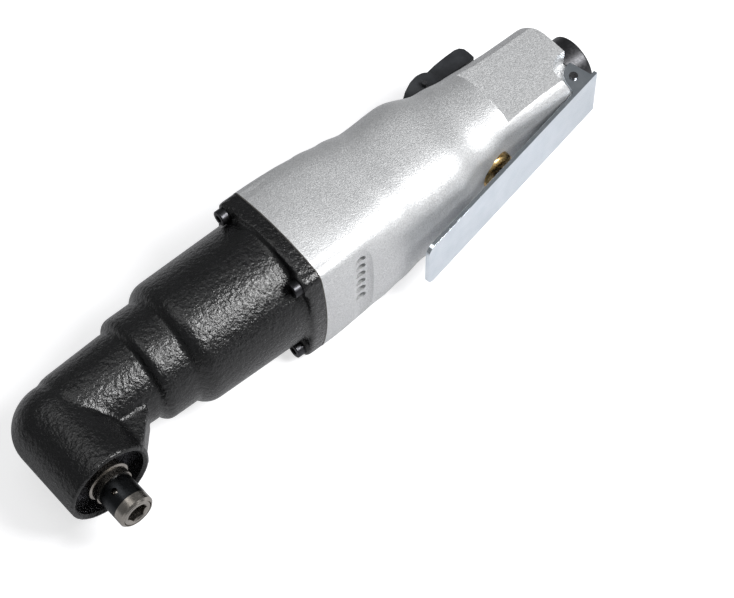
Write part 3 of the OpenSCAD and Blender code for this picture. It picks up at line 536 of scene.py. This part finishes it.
def grip_reach(angle, x):
    """Distance of the grip's surface from the axis in one direction."""
    y, z = sin(angle), abs(cos(angle))
    flat = eased(UP, x) if y > 0 else eased(DOWN, x)
    limits = (eased(CORNER, x), flat / max(abs(y), 0.05), eased(SIDE, x) / max(z, 0.05))
    grown = sum(limit ** -SQUARENESS for limit in limits) ** (-1 / SQUARENESS)
    blend = eased(((0, 0), (BLEND_LEN, 1)), x)
    return flange_reach(angle) * (1 - blend) + grown * blend


def grip_skin(around=160, step=1.6):
    """The grip as one closed skin, ring after ring along X."""
    bm = bmesh.new()
    length = GRIP_END - GRIP_START
    bmesh.ops.create_circle(bm, segments=around, radius=0.01,
                            matrix=placed(ALONG_X) @ Matrix.Scale(1 / MM, 4))
    count = int((length - END_ROUND) / step)
    stations = [((length - END_ROUND) * i / count, 0) for i in range(count)]
    stations += [(length - END_ROUND + END_ROUND * sin(radians(a)),
                  END_ROUND - END_ROUND * cos(radians(a))) for a in range(0, 91, 15)]
    edges, ring = list(bm.edges), list(bm.verts)
    first = edges
    for i, (x, inset) in enumerate(stations):
        if i:
            grown = bmesh.ops.extrude_edge_only(bm, edges=edges)["geom"]
            ring = [item for item in grown if isinstance(item, bmesh.types.BMVert)]
            inside = set(ring)
            edges = [item for item in grown if isinstance(item, bmesh.types.BMEdge)
                     and item.verts[0] in inside and item.verts[1] in inside]
        for vert in ring:
            angle = atan2(vert.co.y - crossing.y, vert.co.z - crossing.z)
            reach = grip_reach(angle, x) - inset
            vert.co = at(GRIP_START + x, reach * sin(angle), reach * cos(angle))
    for rim in (first, edges):
        bmesh.ops.contextual_create(bm, geom=rim)
    return bm


# %% [markdown]
# Each hole, seat and flat of the grip has a cutter of its own. The housing
# clears the lever along its whole travel, so that cutter is a block turned
# about the lever's pivot by the slope that is left when it is pressed.

# %% Places of the grip's holes and flats
PIVOT = Vector((GRIP_END - 1.9, -10.2, 0))
LEVER_SLOPE, LEVER_PRESS = 10.74, 3.2
PLATE_IN = 4.07
LEVER_ROOM = 0.3
PIN_R = 1.52
VALVE_X = GRIP_END - 42.8
REVERSE_X = GRIP_END - 40.5
LABEL_HALF = 15.6
LABEL_FRONT = GRIP_END - 34.5
EAR_IN, EAR_POCKET = 8.7, 7.2
EXHAUST_X, EXHAUST_Z = GRIP_START + 16.7, 3.2
EXHAUST_COUNT, EXHAUST_PITCH = 6, 4.3
EXHAUST_R, EXHAUST_STRETCH = 1.3, 0.7
SCALLOP_R, SCALLOP_Y = 5.5, -26.8
MOTOR_BORE, MOTOR_REAR = 19, span("rear_end_plate", X)[1]
SCREEN_X = span("inlet_screen", X)[0]
AIR_ROOM_LEN = 18
TAP_DEPTH = 11.5
print("lever pivot:", round(GRIP_END - PIVOT.x, 1), "mm before the rear end")


# %% Cutters for the grip


def round_cutter(*rods):
    """One cutter from rods given as (start, end, radius, turn, x, y, z)."""
    bm = bmesh.new()
    for start, end, radius, turn, x, y, z in rods:
        rod(bm, start, end, radius, turn, x, y, z)
    return bm


def turned_slab(xs, ys, zs, degrees):
    """A block about the lever's pivot, turned with the lever."""
    bm = slab(xs, ys, zs)
    here = Matrix.Translation(at(*PIVOT))
    spin = here @ Matrix.Rotation(radians(degrees), 4, "Z") @ Matrix.Translation(-crossing)
    bmesh.ops.transform(bm, verts=bm.verts, matrix=spin)
    return bm


def exhaust_slots():
    """The row of exhaust holes, each a little longer than wide."""
    bm = bmesh.new()
    for i in range(EXHAUST_COUNT):
        z = EXHAUST_Z + (i - (EXHAUST_COUNT - 1) / 2) * EXHAUST_PITCH
        slot = bmesh.ops.create_circle(bm, segments=32, radius=EXHAUST_R, cap_ends=True)
        for vert in slot["verts"]:
            stretch = EXHAUST_STRETCH if vert.co.x > 0 else -EXHAUST_STRETCH
            vert.co = at(EXHAUST_X + vert.co.x + stretch, -30, z + vert.co.y)
    raised = bmesh.ops.extrude_face_region(bm, geom=list(bm.faces))
    moved = [item for item in raised["geom"] if isinstance(item, bmesh.types.BMVert)]
    bmesh.ops.translate(bm, verts=moved, vec=(0, 20 * MM, 0))
    return bm


def stepped_hole(inner, outer, low, step, high, where, steps):
    """A hole that widens from the inner to the outer radius at the step."""
    return lathe(bmesh.new(), [(0, low), (inner, low), (inner, step), (outer, step), (outer, high),
                               (0, high)], where, steps)


# %% The grip, extruded and then machined
grip = made_object("motor_grip", grip_skin())
cutters = [
    round_cutter((GRIP_START - 1, MOTOR_REAR, MOTOR_BORE, ALONG_X, 0, 0, 0)),
    round_cutter((-30, 30, SCALLOP_R, Matrix(), EXHAUST_X, SCALLOP_Y, 0)),
    exhaust_slots(),
    lathe(bmesh.new(), [(0, -30), (6.42, -30), (6.42, -9), (5.5, -9), (5.5, 1.9), (0, 1.9)],
          placed(ALONG_Y, VALVE_X), 50),
    stepped_hole(5.55, 12.5, 4.2, 20, 40, placed(ALONG_Y, REVERSE_X), 54),
    stepped_hole(6.5, 8.22, SCREEN_X - AIR_ROOM_LEN, SCREEN_X, GRIP_END + 1, placed(ALONG_X), 58),
    round_cutter(*[(GRIP_START - 1, GRIP_START + TAP_DEPTH, PIN_R, ALONG_X, 0, y, z)
                   for y, z in SCREWS]),
    turned_slab((-60, 10), (-PLATE_IN + LEVER_ROOM - 20, -PLATE_IN + LEVER_ROOM), (-30, 30),
                LEVER_SLOPE - LEVER_PRESS),
    round_cutter((-20, 20, PIN_R, Matrix(), PIVOT.x, PIVOT.y, 0)),
]
for side in (-1, 1):
    flat = sorted((side * LABEL_HALF, side * 40))
    cutters.append(slab((LABEL_FRONT, GRIP_END + 5), (-40, 40), flat))
    ear = sorted((side * EAR_IN, side * 20))
    cutters.append(round_cutter((*ear, EAR_POCKET, Matrix(), PIVOT.x, PIVOT.y, 0)))
for cutter in cutters:
    grip = cut(grip, cutter)
finished(grip, "blasted_aluminium", "casing", "main_housing")

# %% [markdown]
# ## Throttle lever
# The lever is a stamping: one sheet of zinc-plated steel with rounded front
# corners and two ears bent down at its rear, drilled for the pivot pin. Plate
# and ears are extruded from their outlines, fused, and their edges eased.

# %% Throttle lever
LEVER_LEN, LEVER_TAIL, LEVER_HALF, SHEET = 92.8, 6.27, 10.3, 1.4
LEVER_CORNER = 3.4
PIN_HOLE = 1.55


def lever_frame():
    """Matrix of the lever at rest: local X along its plate, pivot at zero."""
    turn = Matrix.Rotation(radians(LEVER_SLOPE), 4, "Z")
    return Matrix.Translation(at(*PIVOT)) @ turn @ Matrix.Scale(MM, 4)


def smoothed_edges(piece, width):
    """Ease the sharp edges of a finished volume."""
    bevel = piece.modifiers.new("ease", "BEVEL")
    bevel.width, bevel.segments, bevel.limit_method = width * MM, 3, "ANGLE"
    bevel.angle_limit = SHARP
    applied(piece)
    for face in piece.data.polygons:
        face.use_smooth = True
    return piece


plate_outline = [(LEVER_TAIL, LEVER_HALF), (LEVER_TAIL, -LEVER_HALF)]
nose = LEVER_TAIL - LEVER_LEN
for side, start in ((-1, 270), (1, 180)):
    plate_outline += arc(nose + LEVER_CORNER, side * (LEVER_HALF - LEVER_CORNER), LEVER_CORNER,
                         start, start - 90)
flat_down = Matrix.Rotation(pi / 2, 4, "X")      # local XY becomes the plate's XZ
plate = prism(bmesh.new(), plate_outline,
              lever_frame() @ Matrix.Translation((0, -PLATE_IN, 0)) @ flat_down, SHEET)
lever = made_object("throttle_lever_sheet", plate)
ear_outline = [(-6.4, -PLATE_IN - 0.6), (-5.3, -PLATE_IN + 0.4), (-4.4, -1.6), (-3.5, 0.4),
               (-2.2, 2.4), (-0.6, 3.7), (1.2, 4.4), (3.2, 4.6), (4.0, 4.3), (4.4, -PLATE_IN - 0.6)]
for z in (-LEVER_HALF, LEVER_HALF - SHEET):
    ear = prism(bmesh.new(), ear_outline, lever_frame() @ Matrix.Translation((0, 0, z)), SHEET)
    lever = combined(lever, made_object("ear", ear), "UNION")
lever = cut(lever, round_cutter((-14, 14, PIN_HOLE, Matrix(), PIVOT.x, PIVOT.y, 0)))
lever = smoothed_edges(lever, 0.3)
finished(lever, "zinc_plate", "throttle_lever", "throttle_lever")

# %% [markdown]
# ## Brass bush
# The throttle bush is turned brass, and stands proud of the grip with a broad
# chamfer on its face. Its profile is spun once round the valve's axis.

# %% Throttle bush
bush = lathe(bmesh.new(), [(2.06, -18.6), (5.4, -18.6), (5.7, -18.5), (6.9, -17.4), (7, -17.1),
                           (7, -14.2), (6.4, -14.1), (6.4, -9), (2.06, -9), (2.06, -18.6)],
             placed(ALONG_Y, VALVE_X), 64)
bush = made_object("throttle_bush", bush)
finished(bush, "brass", "casing", "throttle_valve_bush")

# %% [markdown]
# ## Reverse lever
# A small black casting: a pointed hub like a leaf over the spool, with a cross
# pin, and a thick thumb bar behind it. The hub is the part that a leaf-shaped
# post and a curved side view have in common, so the two are intersected.

# %% Reverse lever
leaf = [(-9.8, 0), (-8.2, -2.1), (-5.6, -4.3), (-2.5, -5.8), (0.8, -6.2), (3.6, -5.6), (6.4, -4.6),
        (7.4, 0), (6.4, 4.6), (3.6, 5.6), (0.8, 6.2), (-2.5, 5.8), (-5.6, 4.3), (-8.2, 2.1)]
leaf_post = prism(bmesh.new(), leaf, placed(Matrix.Rotation(pi / 2, 4, "X"), REVERSE_X, 29), 9)
hub = made_object("reverse_thumb_lever", leaf_post)
hub_side = [(-10.5, 20.4), (-10.2, 22.2), (-8.6, 23.9), (-6, 25.4), (-3, 26.4), (0, 26.9),
            (3, 26.8), (5.4, 26), (7.6, 24.4), (7.8, 20.4)]
side_view = made_object("side", prism(bmesh.new(), hub_side, placed(None, REVERSE_X, 0, -8), 16))
hub = combined(hub, side_view, "INTERSECT")
bar_side = [(3, 20.9), (3.4, 25.2), (5.4, 26.7), (9, 27.3), (14, 27.7), (18.6, 27.8), (20.4, 27.3),
            (21.5, 26), (21.8, 24), (21.8, 21.2), (21.2, 20.9)]
bar = made_object("bar", prism(bmesh.new(), bar_side, placed(None, REVERSE_X, 0, -4.3), 8.6))
hub = combined(hub, bar, "UNION")
hub = cut(hub, round_cutter((20, 23.4, 3.05, ALONG_Y, REVERSE_X, 0, 0)))
hub = cut(hub, round_cutter((-9, 9, 0.95, Matrix(), REVERSE_X, 22.1, 0)))
hub = smoothed_edges(hub, 0.4)
finished(hub, "reverse_black", "reverse_lever", "reverse_lever")

# %% [markdown]
# ## Floor and studio light
# The tool lies on a plain table that the camera sees white. Its own grey is
# darker, and a glow for camera rays makes up the difference, with a trace of
# it for mirrored rays. So the table takes a soft shadow, and sends little
# light back up at the black paint.
# Two soft lamps and an even sky give metal a bright and a dark side to mirror.


# %% Floor
FLOOR_HALF = 4        # metres
CAMERA_GLOW, MIRRORED_GLOW = 0.66, 0.05


def lay_floor():
    """A wide sheet that the camera sees white, with the tool's shadow on it."""
    sheet = bmesh.new()
    bmesh.ops.create_grid(sheet, x_segments=1, y_segments=1, size=FLOOR_HALF)
    mesh = bpy.data.meshes.new("floor")
    sheet.to_mesh(mesh)
    sheet.free()
    made, tree, shader, place = material("floor_white", Roughness=0.9)
    tinted(tree, shader, noise(tree, place, 900), (0.5, 0.5, 0.515), (0.54, 0.54, 0.55))
    shader.inputs["Emission Color"].default_value = (1, 1, 1, 1)
    rays = node(tree, "ShaderNodeLightPath")
    mirrored = node(tree, "ShaderNodeMath", operation="MULTIPLY")
    tree.links.new(rays.outputs["Is Glossy Ray"], mirrored.inputs[0])
    mirrored.inputs[1].default_value = MIRRORED_GLOW
    glow = node(tree, "ShaderNodeMath", operation="MULTIPLY_ADD")
    tree.links.new(rays.outputs["Is Camera Ray"], glow.inputs[0])
    glow.inputs[1].default_value = CAMERA_GLOW
    tree.links.new(mirrored.outputs[0], glow.inputs[2])
    tree.links.new(glow.outputs[0], shader.inputs["Emission Strength"])
    mesh.materials.append(made)
    floor = bpy.data.objects.new("floor", mesh)
    bpy.context.scene.collection.objects.link(floor)


lay_floor()
print("floor laid")


# %% Lamps and sky
TOOL_MIDDLE = at(110, 0, 0)


def lamp(name, place, size, watts):
    """A square soft box that looks at the middle of the tool."""
    light = bpy.data.lights.new(name, "AREA")
    light.size, light.energy = size, watts
    box = bpy.data.objects.new(name, light)
    box.location = place
    box.rotation_euler = (TOOL_MIDDLE - box.location).to_track_quat("-Z", "Y").to_euler()
    bpy.context.scene.collection.objects.link(box)


lamp("key_light", at(355, -380, 560), 0.3, 7.0)
lamp("top_light", at(-60, 120, 760), 0.5, 1.3)

world = bpy.data.worlds.new("studio")
world.use_nodes = True
sky = world.node_tree.nodes["Background"]
sky.inputs["Color"].default_value = (0.96, 0.98, 1.0, 1)
sky.inputs["Strength"].default_value = 0.2
bpy.context.scene.world = world
bpy.context.scene.view_settings.view_transform = "Standard"
print("lamps set")
